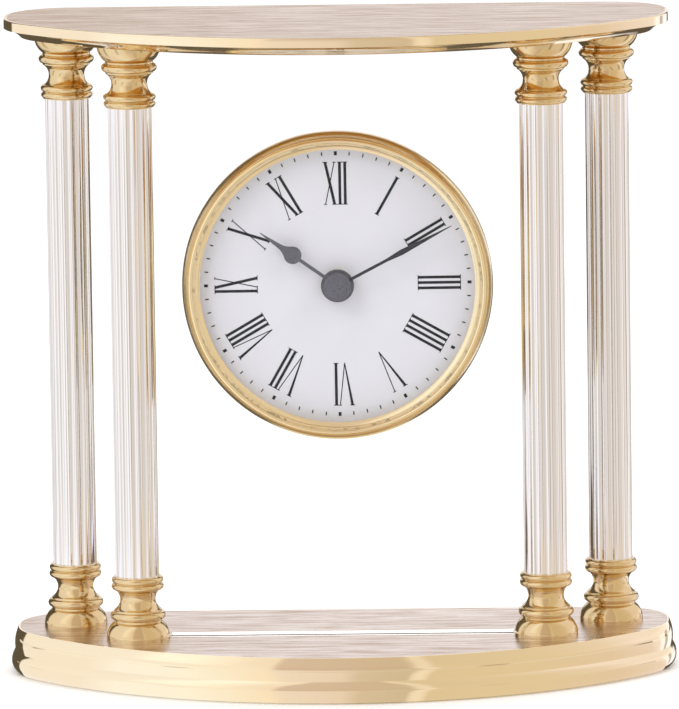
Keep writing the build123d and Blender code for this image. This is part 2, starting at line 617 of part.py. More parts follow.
def bushing_nut():
    nut = ring(BUSHING_NUT_RADIUS, BUSHING_RADIUS + SLIP, 0, BUSHING_NUT_HEIGHT)
    slot_floor = BUSHING_NUT_HEIGHT / 2
    return nut - box(3 * BUSHING_NUT_RADIUS, BUSHING_NUT_SLOT, slot_floor, BUSHING_NUT_HEIGHT + OVERRUN)


def movement_washer():
    return ring(WASHER_RADIUS, BUSHING_RADIUS + SLIP, MOVEMENT_FRONT, -DIAL_THICKNESS)


def cell():
    """Round cell lying across the bay, its nub to the right seen from the front."""
    body = Rot(0, 90, 0) * Cylinder(CELL_RADIUS, CELL_LENGTH)
    nub = Pos((CELL_LENGTH + CELL_NUB_LENGTH) / 2, 0, 0) * Rot(0, 90, 0) * Cylinder(CELL_NUB_RADIUS, CELL_NUB_LENGTH)
    return Pos(-CELL_NUB_LENGTH / 2, -CELL_BELOW_CENTRE, CELL_DEPTH) * (body + nub)


def cell_contact(side):
    """Sprung strip at one end of the bay, bowed towards the cell: side is 1 at the nub and -1 opposite."""
    height = CELL_RADIUS
    wall = side * BAY_LENGTH / 2
    face = wall - side * CONTACT_THICKNESS
    bow = wall - side * (CONTACT_THICKNESS + CONTACT_BOW)
    outline = [
        Line((wall, -height), (wall, height)),
        Line((wall, height), (face, height)),
        ThreePointArc((face, height), (bow, 0), (face, -height)),
        Line((face, -height), (wall, -height)),
    ]
    strip = extrude(make_face(Wire([line.edge() for line in outline])), CONTACT_WIDTH / 2, both=True)
    return Pos(0, -CELL_BELOW_CENTRE, CELL_DEPTH) * strip


# Motion work
def gear(teeth, bottom, thickness, tooth_at):
    """Spur wheel with involute teeth, one of them centred on the angle tooth_at."""
    pitch = MODULE * teeth / 2
    base = pitch * cos(radians(PRESSURE_ANGLE))
    root = pitch - DEDENDUM_SHARE * MODULE
    tip = pitch + ADDENDUM_SHARE * MODULE
    half = degrees((pi * MODULE / 2 - TOOTH_SLACK) / (2 * pitch))
    radii = (root, (root + pitch) / 2, pitch, tip)
    flank = [(r, half + roll_off(base, pitch) - roll_off(base, max(r, base))) for r in radii]
    points = []
    for tooth in range(teeth):
        middle = tooth_at + 360 * tooth / teeth
        points += [polar(r, middle - a) for r, a in flank]
        points += [polar(r, middle + a) for r, a in reversed(flank)]
    face = make_face(Polyline(points, close=True))
    return Pos(0, 0, bottom) * extrude(face, thickness)


def roll_off(base, radius):
    """How far round an involute of the base circle has turned where it reaches the radius, in degrees."""
    slant = acos(base / radius)
    return degrees(tan(slant) - slant)


def polar(radius, angle):
    return (radius * cos(radians(angle)), radius * sin(radians(angle)))


def meshing(tooth_at, teeth, direction, mate_teeth):
    """Angle of a tooth on a mate that lies in the given direction, so that it meshes."""
    turns = (tooth_at - direction) * teeth / 360 + 1 / 2
    return direction + 180 - turns * 360 / mate_teeth


def minute_wheel():
    """Wheel and pinion on one arbor between the lid and the rear housing."""
    at = meshing(MINUTE_WHEEL_ANGLE, CANNON_TEETH, MINUTE_WHEEL_ANGLE, MINUTE_WHEEL_TEETH)
    wheel = gear(MINUTE_WHEEL_TEETH, MINUTE_WHEEL_FRONT - WHEEL_THICKNESS, WHEEL_THICKNESS, at)
    pinion_length = LID_INSIDE - SHAKE - MINUTE_WHEEL_FRONT
    pinion_at = MINUTE_WHEEL_ANGLE + 180
    wheel += gear(MINUTE_PINION_TEETH, MINUTE_WHEEL_FRONT, pinion_length, pinion_at)
    arbor_bottom = SPLIT - PIVOT_DEPTH
    arbor_top = LID_INSIDE + LID_WALL / 2 - SHAKE
    wheel += rod(SMALL_ARBOR_RADIUS, arbor_bottom, arbor_top)
    return Pos(*MINUTE_WHEEL_PLACE, 0) * wheel


def hour_wheel():
    """Wheel on a tube that runs out through the bushing to the hour hand."""
    pinion_at = MINUTE_WHEEL_ANGLE + 180
    at = meshing(pinion_at, MINUTE_PINION_TEETH, pinion_at, HOUR_WHEEL_TEETH)
    wheel = gear(HOUR_WHEEL_TEETH, HOUR_WHEEL_FRONT - WHEEL_THICKNESS, WHEEL_THICKNESS, at)
    outer = BUSHING_BORE - RUNNING
    wheel += rod(outer, HOUR_WHEEL_FRONT - WHEEL_THICKNESS, HOUR_HAND_FRONT)
    return wheel - rod(CENTRE_ARBOR_RADIUS + RUNNING, SPLIT, HOUR_HAND_FRONT + OVERRUN)


def centre_arbor():
    """Centre arbor with its pinion, carrying the minute hand on a thinner pin."""
    shoulder = MINUTE_HAND_FRONT - HAND_THICKNESS
    pinion_bottom = MINUTE_WHEEL_FRONT - PINION_THICKNESS
    arbor = gear(CANNON_TEETH, pinion_bottom, PINION_THICKNESS, MINUTE_WHEEL_ANGLE)
    arbor += rod(CENTRE_ARBOR_RADIUS, pinion_bottom, shoulder)
    arbor += rod(CENTRE_PIN_RADIUS, SPLIT - PIVOT_DEPTH, MINUTE_HAND_FRONT + HAND_CAP_SOCKET - SLIP)
    return arbor


def set_wheel():
    """Setting wheel on the arbor that comes out at the back."""
    wheel_at = meshing(MINUTE_WHEEL_ANGLE, CANNON_TEETH, MINUTE_WHEEL_ANGLE, MINUTE_WHEEL_TEETH)
    at = meshing(wheel_at, MINUTE_WHEEL_TEETH, SET_ANGLE, SET_TEETH)
    wheel = gear(SET_TEETH, MINUTE_WHEEL_FRONT - WHEEL_THICKNESS, WHEEL_THICKNESS, at)
    wheel += rod(SET_ARBOR_RADIUS, MOVEMENT_BACK - SHAKE - KNOB_HEIGHT / 2, MINUTE_WHEEL_FRONT)
    wheel += rod(SMALL_ARBOR_RADIUS, MINUTE_WHEEL_FRONT, LID_INSIDE + LID_WALL / 2 - SHAKE)
    return Pos(*SET_PLACE, 0) * wheel


def set_knob():
    """Ribbed knob on the back end of the setting arbor."""
    top = MOVEMENT_BACK - SHAKE
    knob = rod(KNOB_RADIUS, top - KNOB_HEIGHT, top)
    rib = rod(2 * KNOB_RIB_DEPTH, top - KNOB_HEIGHT - OVERRUN, top + OVERRUN)
    knob -= [place * rib for place in PolarLocations(KNOB_RADIUS + KNOB_RIB_DEPTH, KNOB_RIBS)]
    knob -= rod(SET_ARBOR_RADIUS + SLIP, top - KNOB_HEIGHT / 2 - SLIP, top + OVERRUN)
    return Pos(*SET_PLACE, 0) * knob


# Hands
def hour_hand():
    """Hub, stem, round bulb and a hollow-sided point."""
    shoulder_x = HOUR_BULB_RADIUS * cos(radians(HOUR_SHOULDER_ANGLE))
    shoulder_y = HOUR_BULB_PLACE + HOUR_BULB_RADIUS * sin(radians(HOUR_SHOULDER_ANGLE))
    taper = HOUR_TAPER_WIDTH / 2
    tip = HOUR_TIP_WIDTH / 2
    slope = (taper - tip, HOUR_TAPER_PLACE - HOUR_HAND_LENGTH)
    point = [
        Line((-shoulder_x, shoulder_y), (shoulder_x, shoulder_y)),
        TangentArc((taper, HOUR_TAPER_PLACE), (shoulder_x, shoulder_y), tangent=slope),
        Line((taper, HOUR_TAPER_PLACE), (tip, HOUR_HAND_LENGTH)),
        Line((tip, HOUR_HAND_LENGTH), (-tip, HOUR_HAND_LENGTH)),
        Line((-tip, HOUR_HAND_LENGTH), (-taper, HOUR_TAPER_PLACE)),
        TangentArc((-taper, HOUR_TAPER_PLACE), (-shoulder_x, shoulder_y), tangent=(-slope[0], slope[1])),
    ]
    outline = Circle(HOUR_HUB_RADIUS) + Pos(0, HOUR_BULB_PLACE / 2) * Rectangle(HOUR_STEM_WIDTH, HOUR_BULB_PLACE)
    outline += Pos(0, HOUR_BULB_PLACE) * Circle(HOUR_BULB_RADIUS)
    outline += make_face(Wire([line.edge() for line in point]))
    outline -= Circle(BUSHING_BORE - RUNNING + SLIP)
    hand = extrude(outline, HAND_THICKNESS)
    return Pos(0, 0, HOUR_HAND_FRONT - HAND_THICKNESS) * Rot(0, 0, HOUR_HAND_TURN) * hand


def minute_hand():
    """Hub and a slim stem that opens into a long leaf."""
    stem = MINUTE_STEM_WIDTH / 2
    leaf = MINUTE_LEAF_WIDTH / 2
    tip = MINUTE_TIP_WIDTH / 2
    blade = Polyline(
        (stem, 0),
        (stem, MINUTE_LEAF_START),
        (leaf, MINUTE_LEAF_PLACE),
        (tip, MINUTE_HAND_LENGTH),
        (-tip, MINUTE_HAND_LENGTH),
        (-leaf, MINUTE_LEAF_PLACE),
        (-stem, MINUTE_LEAF_START),
        (-stem, 0),
        close=True,
    )
    outline = Circle(MINUTE_HUB_RADIUS) + make_face(blade) - Circle(CENTRE_PIN_RADIUS + SLIP)
    hand = extrude(outline, HAND_THICKNESS)
    return Pos(0, 0, MINUTE_HAND_FRONT - HAND_THICKNESS) * Rot(0, 0, MINUTE_HAND_TURN) * hand


def hand_cap():
    """Domed cap over the end of the centre arbor."""
    edge = HAND_CAP_EDGE
    rise = HAND_CAP_HEIGHT - HAND_CAP_EDGE
    dome = (HAND_CAP_RADIUS**2 + rise**2) / (2 * rise)
    half = HAND_CAP_RADIUS / 2
    half_height = HAND_CAP_HEIGHT - (dome - sqrt(dome**2 - half**2))
    cap_body = turned(
        [
            Line((0, 0), (HAND_CAP_RADIUS, 0)),
            Line((HAND_CAP_RADIUS, 0), (HAND_CAP_RADIUS, edge)),
            ThreePointArc((HAND_CAP_RADIUS, edge), (half, half_height), (0, HAND_CAP_HEIGHT)),
            Line((0, HAND_CAP_HEIGHT), (0, 0)),
        ]
    )
    cap_body -= rod(CENTRE_PIN_RADIUS + SLIP, -OVERRUN, HAND_CAP_SOCKET)
    return Pos(0, 0, MINUTE_HAND_FRONT) * cap_body


# Assembly
nodes = {
    "base_shell": base_shell(),
    "base_face": base_face(),
    "bottom_plate": bottom_plate(),
    "felt_pad": felt_pad(),
    "top_plate": top_plate(),
    "top_face": top_face(),
    "glass_panel": glass_panel(),
    "slot_liner_lower": Pos(0, PANEL_Y, BASE_HEIGHT - SLOT_DEPTH) * slot_liner(),
    "slot_liner_upper": Pos(0, PANEL_Y, TOP_UNDERSIDE + SLOT_DEPTH) * Rot(180, 0, 0) * slot_liner(),
    "bezel": facing(bezel()),
    "bezel_gasket": facing(bezel_gasket()),
    "crystal": facing(crystal()),
    "dial_ring": facing(dial_ring()),
    "dial": facing(dial()),
    "clock_can": facing(clock_can()),
    "ring_nut": facing(ring_nut()),
    "movement_washer": facing(movement_washer()),
    "movement_lid": facing(movement_lid()),
    "movement_rear": facing(movement_rear()),
    "centre_bushing": facing(centre_bushing()),
    "bushing_nut": facing(bushing_nut()),
    "contact_positive": facing(cell_contact(1)),
    "contact_negative": facing(cell_contact(-1)),
    "cell": facing(cell()),
    "minute_wheel": facing(minute_wheel()),
    "hour_wheel": facing(hour_wheel()),
    "centre_arbor": facing(centre_arbor()),
    "set_wheel": facing(set_wheel()),
    "set_knob": facing(set_knob()),
    "hour_hand": facing(hour_hand()),
    "minute_hand": facing(minute_hand()),
    "hand_cap": facing(hand_cap()),
}
foot = cap()
capital = Pos(0, 0, TOP_UNDERSIDE) * Rot(180, 0, 0) * cap()
for corner, (x, y) in COLUMNS.items():
    nodes["foot_" + corner] = Pos(x, y, BASE_HEIGHT) * foot
    nodes["column_" + corner] = Pos(x, y, 0) * column_tube()
    nodes["capital_" + corner] = Pos(x, y, 0) * capital
    nodes["tie_rod_" + corner] = Pos(x, y, 0) * tie_rod()
    nodes["rod_nut_" + corner] = Pos(x, y, 0) * rod_nut()

os.makedirs("parts", exist_ok=True)
for name, piece in nodes.items():
    export_step(piece, "parts/" + name + ".step")
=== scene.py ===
import bmesh
import bpy
import numpy as np
from mathutils import Matrix, Vector


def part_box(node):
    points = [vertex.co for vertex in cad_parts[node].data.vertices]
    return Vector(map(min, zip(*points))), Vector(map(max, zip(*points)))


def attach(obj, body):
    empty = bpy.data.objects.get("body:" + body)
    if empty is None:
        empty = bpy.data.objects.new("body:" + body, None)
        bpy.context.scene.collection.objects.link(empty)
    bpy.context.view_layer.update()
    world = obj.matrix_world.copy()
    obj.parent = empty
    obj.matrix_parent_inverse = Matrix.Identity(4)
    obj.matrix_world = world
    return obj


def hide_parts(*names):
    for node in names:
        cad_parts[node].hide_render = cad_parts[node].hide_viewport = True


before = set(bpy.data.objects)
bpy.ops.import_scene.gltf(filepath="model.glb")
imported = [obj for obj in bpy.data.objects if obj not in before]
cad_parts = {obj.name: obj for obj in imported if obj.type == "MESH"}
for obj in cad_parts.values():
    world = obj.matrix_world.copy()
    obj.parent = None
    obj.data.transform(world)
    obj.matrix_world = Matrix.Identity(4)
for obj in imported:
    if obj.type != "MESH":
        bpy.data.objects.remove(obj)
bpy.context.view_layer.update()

# Camera
# A long lens three metres away, a little above the clock and a hair to its right, held with a slight roll.
# It comes first, because everything else is judged through it.
MM = 0.001
LENS = 492.93
CLIP_END = 30.0
CAMERA_ROLL = -0.0136
camera_place = Vector((61.88, -3097.7, 591.4)) * MM
camera_target = Vector((0.3, -4.0, 107.2)) * MM

back = (camera_place - camera_target).normalized()
right = Vector((0, 0, 1)).cross(back).normalized()
up = back.cross(right)
rolled_right = np.cos(CAMERA_ROLL) * right + np.sin(CAMERA_ROLL) * up
rolled_up = back.cross(rolled_right)
camera_turn = Matrix((rolled_right, rolled_up, back)).transposed().to_4x4()
camera = bpy.data.objects.new("camera", bpy.data.cameras.new("camera"))
camera.data.lens = LENS
camera.data.clip_end = CLIP_END
camera.matrix_world = Matrix.Translation(camera_place) @ camera_turn
bpy.context.scene.collection.objects.link(camera)
bpy.context.scene.camera = camera
bpy.context.scene.view_settings.view_transform = "Standard"


# Studio
# A pale table top, a white room and three soft boxes. Round the clock stands a drum of toned paper that
# only polish sees: its tones make the broad lights and the dark edges on the brass and the silver.
class Signal:
    """One socket of a material, so that shader maths is written as arithmetic."""

    def __init__(self, finish, socket):
        self.finish = finish
        self.socket = socket

    def maths(self, operation, *others):
        return self.finish.maths(operation, self, *others)

    def __add__(self, other):
        return self.maths("ADD", other)

    def __sub__(self, other):
        return self.maths("SUBTRACT", other)

    def __rsub__(self, other):
        return self.finish.maths("SUBTRACT", other, self)

    def __mul__(self, other):
        return self.maths("MULTIPLY", other)

    def __pow__(self, other):
        return self.maths("POWER", other)

    __radd__ = __add__
    __rmul__ = __mul__


class Finish:
    """A material with one shader: constants go on its own sockets, and feed() links what varies."""

    # The range that a noise mostly keeps to, and the numbers of a colour mix's sockets.
    NOISE_REACH = 0.3, 0.7
    MIX_FACTOR, MIX_FIRST, MIX_SECOND = 0, 6, 7
    MIX_RESULT = 2

    def __init__(self, name, color, roughness, metallic=0.0, constants=None):
        self.material = bpy.data.materials.new(name)
        self.material.use_nodes = True
        self.tree = self.material.node_tree
        self.shader = self.tree.nodes["Principled BSDF"]
        self.shader.inputs["Base Color"].default_value = (*color, 1)
        self.shader.inputs["Roughness"].default_value = roughness
        self.shader.inputs["Metallic"].default_value = metallic
        for socket, value in (constants or {}).items():
            self.shader.inputs[socket].default_value = value

    def node(self, kind, values=(), output=0, stops=None, **settings):
        """Adds a node: settings first, then a ramp's stops, then the values or links of its sockets."""
        node = self.tree.nodes.new(kind)
        for setting, value in settings.items():
            setattr(node, setting, value)
        if stops:
            ramp = node.color_ramp.elements
            ramp.remove(ramp[1])
            ramp[0].position, ramp[0].color = stops[0][0], (*stops[0][1], 1)
            for place, color in stops[1:]:
                ramp.new(place).color = (*color, 1)
        pairs = values.items() if isinstance(values, dict) else enumerate(values)
        for key, value in pairs:
            if isinstance(value, Signal):
                self.tree.links.new(value.socket, node.inputs[key])
            else:
                node.inputs[key].default_value = value
        return Signal(self, node.outputs[output])

    def maths(self, operation, *values):
        return self.node("ShaderNodeMath", values, operation=operation)

    def place(self, stretch=(1, 1, 1)):
        """Object coordinates in millimetres, stretched along each axis."""
        spot = self.node("ShaderNodeTexCoord", output="Object")
        scale = tuple(s / MM for s in stretch)
        return self.node("ShaderNodeMapping", {"Vector": spot, "Scale": scale})

    def axis(self, number):
        """One of the object coordinates in millimetres: 0 to the right, 1 to the back, 2 up."""
        return self.node("ShaderNodeSeparateXYZ", (self.place(),), output=number)

    def noise(self, scale, stretch=(1, 1, 1), detail=3.0, roughness=0.55):
        values = {"Vector": self.place(stretch), "Scale": scale, "Detail": detail, "Roughness": roughness}
        return self.node("ShaderNodeTexNoise", values)

    def spread(self, signal, low, high, bottom=0.0, top=1.0):
        """Maps low..high onto bottom..top, held at both ends."""
        return self.node("ShaderNodeMapRange", (signal, low, high, bottom, top))

    def blend(self, factor, first, second):
        """Mixes two colours, each a tuple or a signal."""
        first, second = [(*color, 1) if isinstance(color, tuple) else color for color in (first, second)]
        values = {self.MIX_FACTOR: factor, self.MIX_FIRST: first, self.MIX_SECOND: second}
        return self.node("ShaderNodeMix", values, output=self.MIX_RESULT, data_type="RGBA")

    def feed(self, socket, signal):
        self.tree.links.new(signal.socket, self.shader.inputs[socket])

    def uneven(self, noise, smoothest, dullest, reach=NOISE_REACH):
        """Lets the roughness wander between two values with a noise."""
        self.feed("Roughness", self.spread(noise, *reach, smoothest, dullest))

    def bump(self, height, distance, strength=1.0):
        values = {"Height": height, "Distance": distance * MM, "Strength": strength}
        self.feed("Normal", self.node("ShaderNodeBump", values))

    def on(self, *nodes):
        """Puts the finish on CAD nodes."""
        for name in nodes:
            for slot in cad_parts[name].material_slots:
                slot.material = self.material


def shown(name, mesh, finish):
    """Brings a finished mesh into the scene, at the origin and unturned."""
    mesh.materials.append(finish.material)
    thing = bpy.data.objects.new(name, mesh)
    bpy.context.scene.collection.objects.link(thing)
    return thing


def staged(name, points, faces, finish):
    """A thing of the studio, not of the clock, from points in millimetres."""
    mesh = bpy.data.meshes.new(name)
    mesh.from_pydata((np.array(points) * MM).tolist(), [], faces)
    thing = shown(name, mesh, finish)
    return thing


TABLE_REACH = 9000.0
TABLE_WHITE = (0.93, 0.93, 0.94)
table = Finish("table_top", TABLE_WHITE, 0.7, constants={"Specular IOR Level": 0.2})
corners = [(x * TABLE_REACH, y * TABLE_REACH, 0.0) for x, y in ((-1, -1), (1, -1), (1, 1), (-1, 1))]
staged("table_top", corners, [(0, 1, 2, 3)], table).visible_glossy = False

room = bpy.data.worlds.new("white_room")
room.use_nodes = True
room.node_tree.nodes["Background"].inputs["Color"].default_value = (1, 1, 1, 1)
room.node_tree.nodes["Background"].inputs["Strength"].default_value = 1.0
bpy.context.scene.world = room

# Each soft box has a name, a place, a side and a power in watts. All are turned towards one point.
SOFT_BOX_AIM = Vector((0, 0, 100))
SOFT_BOXES = (
    ("soft_box_left", (-1100, -1300, 1500), 900, 12),
    ("soft_box_right", (1300, -900, 1300), 700, 5),
    ("soft_box_top", (100, 300, 1900), 1200, 9),
)
for name, place, side, watts in SOFT_BOXES:
    lamp = bpy.data.lights.new(name, "AREA")
    lamp.energy = watts
    lamp.size = side * MM
    box = bpy.data.objects.new(name, lamp)
    box.location = Vector(place) * MM
    box.rotation_euler = (SOFT_BOX_AIM - Vector(place)).to_track_quat("-Z", "Y").to_euler()
    box.visible_glossy = False
    bpy.context.scene.collection.objects.link(box)

# The drum's papers. A list of tones goes once round the clock, in degrees to the right of the camera.
BLACK = (0.0, 0.0, 0.0)
DARK = (0.12, 0.10, 0.07)
DIM_TONE = (0.42, 0.28, 0.13)
BEHIND_TONE = (0.80, 0.66, 0.45)
# On the drum's floor close to the clock, and again along the foot of its wall: seen in the rims.
NEAR_TONES = (
    (-180, DARK), (-127, DARK), (-125, (1.02, 1.0, 1.05)), (-75, (1.02, 1.0, 1.04)),
    (-66, (1.08, 1.12, 1.22)), (-48, (1.08, 1.12, 1.18)), (-30, (1.04, 1.0, 0.96)),
    (-23, (1.04, 0.96, 0.88)), (-18, (0.94, 0.87, 0.87)), (0, (0.88, 0.79, 0.75)),
    (6, (0.74, 0.655, 0.565)), (21, (0.70, 0.61, 0.50)), (23, (0.97, 0.89, 0.79)),
    (26, (0.97, 0.89, 0.79)), (28, (0.80, 0.70, 0.54)), (60, (0.82, 0.72, 0.56)),
    (78, (0.84, 0.72, 0.62)), (92, (0.93, 0.85, 0.87)), (112, (1.0, 0.95, 1.0)),
    (118, (1.2, 1.2, 1.4)), (128, (1.2, 1.2, 1.4)), (131, (0.62, 0.58, 0.60)),
    (138, (0.62, 0.58, 0.60)), (141, (1.2, 1.2, 1.4)), (159, (1.2, 1.2, 1.4)),
    (162, DARK), (180, DARK),
)
# On the floor between these two: seen in the tubes, where its stripes draw fine lines.
FAR_TONES = (
    (-180, DARK), (-139, DARK), (-137, (0.92, 0.90, 0.90)), (-105, (0.96, 0.94, 0.94)),
    (-102, (0.42, 0.39, 0.37)), (-96, (0.42, 0.39, 0.37)), (-93, (1.05, 1.05, 1.05)),
    (-54, (1.08, 1.08, 1.1)), (-51, (0.62, 0.6, 0.6)), (-47, (0.62, 0.6, 0.6)),
    (-44, (1.08, 1.08, 1.1)), (-26, (1.03, 1.02, 1.02)), (-10, (0.76, 0.72, 0.69)),
    (20, (0.74, 0.69, 0.63)), (38, (0.84, 0.78, 0.71)), (41, (0.42, 0.36, 0.30)),
    (46, (0.42, 0.36, 0.30)), (49, (0.88, 0.81, 0.75)), (88, (0.88, 0.81, 0.78)),
    (91, (0.34, 0.28, 0.25)), (98, (0.34, 0.28, 0.25)), (101, (1.08, 1.06, 1.02)),
    (128, (1.12, 1.10, 1.06)), (130, DARK), (134, DARK), (136, (1.0, 0.97, 0.94)),
    (148, (1.0, 0.97, 0.94)), (150, DARK), (180, DARK),
)
# On the wall.
WALL_TONES = (
    (-180, (1.14, 1.12, 1.14)), (-166, (1.14, 1.12, 1.14)), (-160, DARK), (-127, DARK),
    (-125, (1.02, 1.0, 1.05)), (-66, (1.04, 1.04, 1.1)), (-30, (1.04, 1.0, 0.96)),
    (-21, (1.0, 0.93, 0.88)), (-19, (0.72, 0.60, 0.56)), (19, (0.66, 0.56, 0.46)),
    (21, (0.94, 0.86, 0.76)), (24, (0.94, 0.86, 0.76)), (26, (0.80, 0.70, 0.54)),
    (60, (0.82, 0.72, 0.56)), (80, (0.90, 0.80, 0.72)), (92, (1.02, 0.95, 0.98)),
    (150, (1.1, 1.08, 1.1)), (157, DARK), (163, DARK), (169, (1.14, 1.12, 1.14)),
    (180, (1.14, 1.12, 1.14)),
)
# High on the wall, and on the lid.
HIGH_TONES = (
    (-180, (0.77, 0.68, 0.61)), (-166, (0.72, 0.62, 0.54)), (-160, DARK), (-127, DARK),
    (-125, (1.0, 0.98, 1.0)), (-66, (1.04, 1.04, 1.1)), (-58, (1.2, 1.2, 1.25)),
    (-48, (1.2, 1.2, 1.25)), (-28, (1.0, 0.95, 0.9)), (-21, (0.98, 0.91, 0.85)),
    (-19, (0.74, 0.63, 0.58)), (19, (0.68, 0.58, 0.48)), (21, (0.92, 0.84, 0.74)),
    (24, (0.92, 0.84, 0.74)), (26, (0.78, 0.69, 0.54)), (60, (0.82, 0.72, 0.57)),
    (80, (0.88, 0.79, 0.71)), (92, (0.98, 0.91, 0.92)), (150, (1.0, 0.96, 0.94)),
    (157, DARK), (163, DARK), (169, (0.94, 0.89, 0.87)), (180, (0.90, 0.84, 0.81)),
)
# Where one paper fades into the next: by distance on the floor, by height, and by distance to either side.
NEAR_END = 250.0, 350.0
FAR_END = 1400.0, 1470.0
FLOOR_END = 100.0, 140.0
HIGH_START = 290.0, 410.0
DIM_START = 750.0, 950.0
DIM_SIDE = 500.0, 700.0
BEHIND_SIDE = 45.0, 62.0

# Directions are taken from the clock's middle, and behind it from the nearest point between its two ends.
PIVOT_X, PIVOT_Y = 107.0, 9.9
paper = Finish("drum_paper", BLACK, 1.0, constants={"Emission Strength": 1.0, "Specular IOR Level": 0.0})
spot_x, spot_y, spot_z = [paper.axis(number) for number in range(3)]
backward = spot_y - PIVOT_Y
behind = backward.maths("GREATER_THAN", 0.0)
pivot = spot_x.maths("MINIMUM", PIVOT_X).maths("MAXIMUM", -PIVOT_X)
bearing = (spot_x - behind * pivot).maths("ARCTAN2", 0.0 - backward) * (0.5 / np.pi) + 0.5
near, far, wall, high = [
    paper.node("ShaderNodeValToRGB", (bearing,), stops=[(angle / 360 + 0.5, tone) for angle, tone in row])
    for row in (NEAR_TONES, FAR_TONES, WALL_TONES, HIGH_TONES)
]
aside = spot_x.maths("ABSOLUTE")
distance = (spot_x * spot_x + spot_y * spot_y) ** 0.5
right_behind = behind * paper.spread(aside, *BEHIND_SIDE, bottom=1.0, top=0.0)
striped = paper.spread(distance, *NEAR_END) * paper.spread(distance, *FAR_END, bottom=1.0, top=0.0)
dim = behind * paper.spread(spot_z, *DIM_START) * paper.spread(aside, *DIM_SIDE, bottom=1.0, top=0.0)
low = paper.blend(striped, paper.blend(right_behind, near, BEHIND_TONE), far)
upper = paper.blend(dim, paper.blend(paper.spread(spot_z, *HIGH_START), wall, high), DIM_TONE)
paper.feed("Emission Color", paper.blend(paper.spread(spot_z, *FLOOR_END), low, upper))

DRUM_RADIUS = 1500.0
DRUM_HEIGHT = 1600.0
DRUM_SINK = 0.5
DRUM_SIDES = 96
ring = np.linspace(0, 2 * np.pi, DRUM_SIDES, endpoint=False)
circle = np.stack([np.sin(ring) * DRUM_RADIUS, -np.cos(ring) * DRUM_RADIUS], -1)
levels = [np.column_stack([circle, np.full(DRUM_SIDES, z)]) for z in (-DRUM_SINK, DRUM_HEIGHT)]
step = np.arange(DRUM_SIDES)
after = (step + 1) % DRUM_SIDES
walls = np.stack([step, after, after + DRUM_SIDES, step + DRUM_SIDES], -1).tolist()
ends = [step.tolist(), (step + DRUM_SIDES).tolist()]
drum = staged("reflection_drum", np.concatenate(levels), walls + ends, paper)
drum.visible_camera = False
drum.visible_diffuse = False
drum.visible_shadow = False
drum.visible_transmission = False

# Base
# A cast rim of polished brass with two rounded bands, and a satin brass sheet let into its top. A steel
# plate with a felt pad closes it below. Nuts on the four tie rods hold it to the columns from inside.
BRASS = (0.93, 0.79, 0.55)
MIRROR = 0.06
HAZE_REACH = 0.35, 0.75


def rippled(finish):
    """Polish is never quite flat: a bump of broad, shallow waves."""
    finish.bump(finish.noise(scale=0.05, detail=2.0), distance=0.05, strength=0.4)


polished = Finish("polished_brass", BRASS, MIRROR, metallic=1.0)
polished.uneven(polished.noise(scale=0.09), smoothest=0.04, dullest=0.1, reach=HAZE_REACH)
rippled(polished)
polished.on("base_shell")

SATIN = (0.90, 0.83, 0.80)
SATIN_BROWN = (0.50, 0.34, 0.24)
# The brush runs from side to side: how far each pattern is drawn out, and how much brown it brings.
GRAIN_STRETCH = (0.04, 0.5, 1)
GRAIN_REACH = 0.46, 0.62
GRAIN_SHARE = 0.7
STREAK_STRETCH = (0.014, 0.14, 1)
STREAK_REACH = 0.46, 0.7
STREAK_SHARE = 0.25
satin = Finish("satin_face", SATIN, 0.3, metallic=1.0)
grain = satin.noise(1.0, GRAIN_STRETCH, detail=6.0, roughness=0.72)
streaks = satin.noise(1.0, STREAK_STRETCH, detail=4.0)
tone = satin.spread(grain, *GRAIN_REACH) * GRAIN_SHARE
tone += satin.spread(streaks, *STREAK_REACH) * STREAK_SHARE
satin.feed("Base Color", satin.blend(tone, SATIN, SATIN_BROWN))
satin.uneven(grain, smoothest=0.22, dullest=0.36)
satin.bump(grain, distance=0.02, strength=0.5)
satin.on("base_face", "top_face")

CORNERS = ("front_left", "front_right", "rear_left", "rear_right")
STEEL = (0.56, 0.57, 0.58)
steel = Finish("steel", STEEL, 0.32, metallic=1.0)
steel.uneven(steel.noise(scale=0.3), smoothest=0.25, dullest=0.4)
steel.on("bottom_plate", *[kind + corner for kind in ("tie_rod_", "rod_nut_") for corner in CORNERS])

FELT_GREEN = (0.035, 0.06, 0.04)
FELT_SHADES = (0.02, 0.035, 0.024), (0.06, 0.1, 0.065)
felt = Finish("green_felt", FELT_GREEN, 0.95, constants={"Sheen Weight": 0.4})
fibres = felt.noise(scale=2.2, detail=4.0)
felt.feed("Base Color", felt.blend(fibres, *FELT_SHADES))
felt.bump(fibres, distance=0.3)
felt.on("felt_pad")

# Columns
# Four fluted tubes with a silver plating, each between a turned brass foot and the same cap upside down.
# A tie rod runs through each, from the nut in the base to its thread in the top plate.
SILVER = (0.90, 0.87, 0.85)
SILVER_STRETCH = (1, 1, 0.1)
silver = Finish("silver_plating", SILVER, 0.12, metallic=1.0)
silver.uneven(silver.noise(0.5, SILVER_STRETCH), smoothest=0.04, dullest=0.09)
silver.on(*["column_" + corner for corner in CORNERS])

TURNED_BRASS = (0.78, 0.60, 0.335)
RINGS_STRETCH = (0.05, 0.05, 2.5)
cap_brass = Finish("turned_brass", TURNED_BRASS, 0.1, metallic=1.0)
rings = cap_brass.noise(1.0, RINGS_STRETCH)
cap_brass.uneven(rings, smoothest=0.1, dullest=0.18)
cap_brass.bump(rings, distance=0.015, strength=0.4)

SAME_POINT = 1e-7


